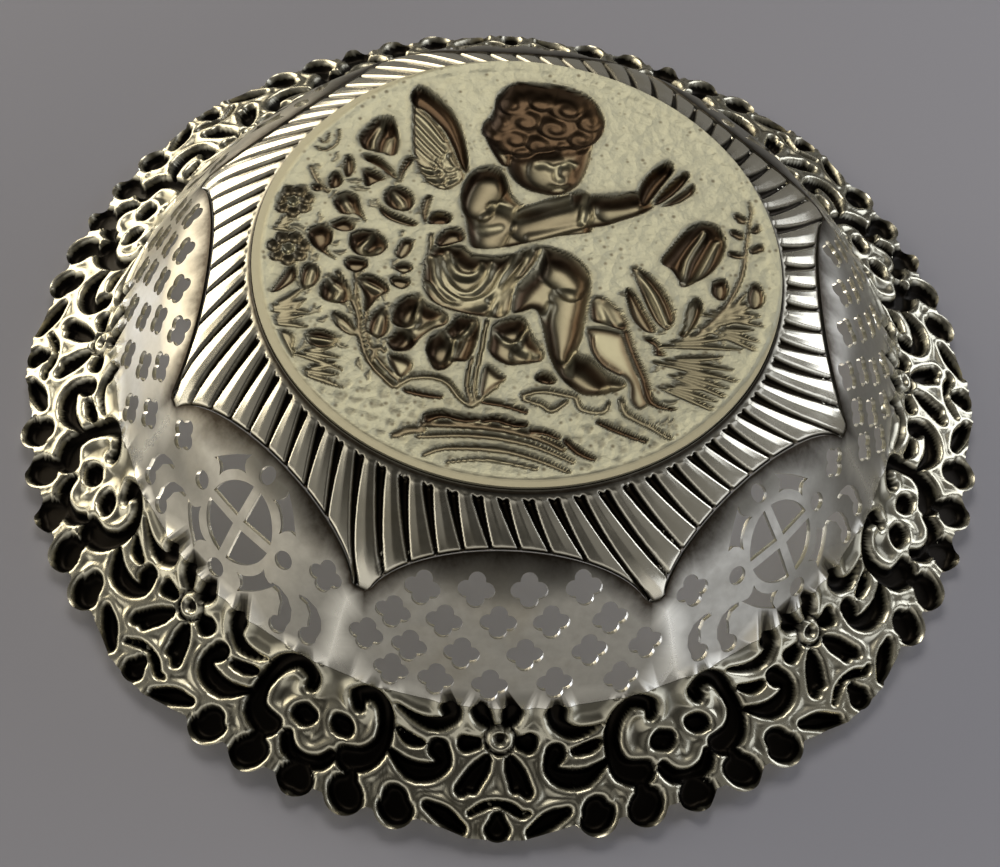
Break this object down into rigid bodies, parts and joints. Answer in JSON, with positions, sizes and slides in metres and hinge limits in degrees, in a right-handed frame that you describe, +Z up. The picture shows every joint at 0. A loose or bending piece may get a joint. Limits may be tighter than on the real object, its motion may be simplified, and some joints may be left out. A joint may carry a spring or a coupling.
{
  "type": "pierced dish",
  "caption": "Round silver dish with a struck base plaque, fluted belt, pierced wall and scalloped scroll border.",
  "frame": {"origin": "centre of the base plaque's underside, the face the dish stands on", "axes": "+Z up the dish's axis towards its mouth; a flower of the border faces -Y, +X, +Y and -X"},
  "size_m": [0.14, 0.14, 0.032],
  "materials": {
    "plaque_silver": "matt stippled silver, brown in the hollows",
    "belt_silver": "polished silver, tarnished in the grooves",
    "wall_silver": "polished silver with light brown stains",
    "border_silver": "polished silver, dark in the struck hollows"
  },
  "bodies": {
    "root": {"base_plaque": "plaque_silver", "fluted_belt": "belt_silver", "pierced_wall": "wall_silver", "scroll_border": "border_silver"}
  },
  "joints": []
}
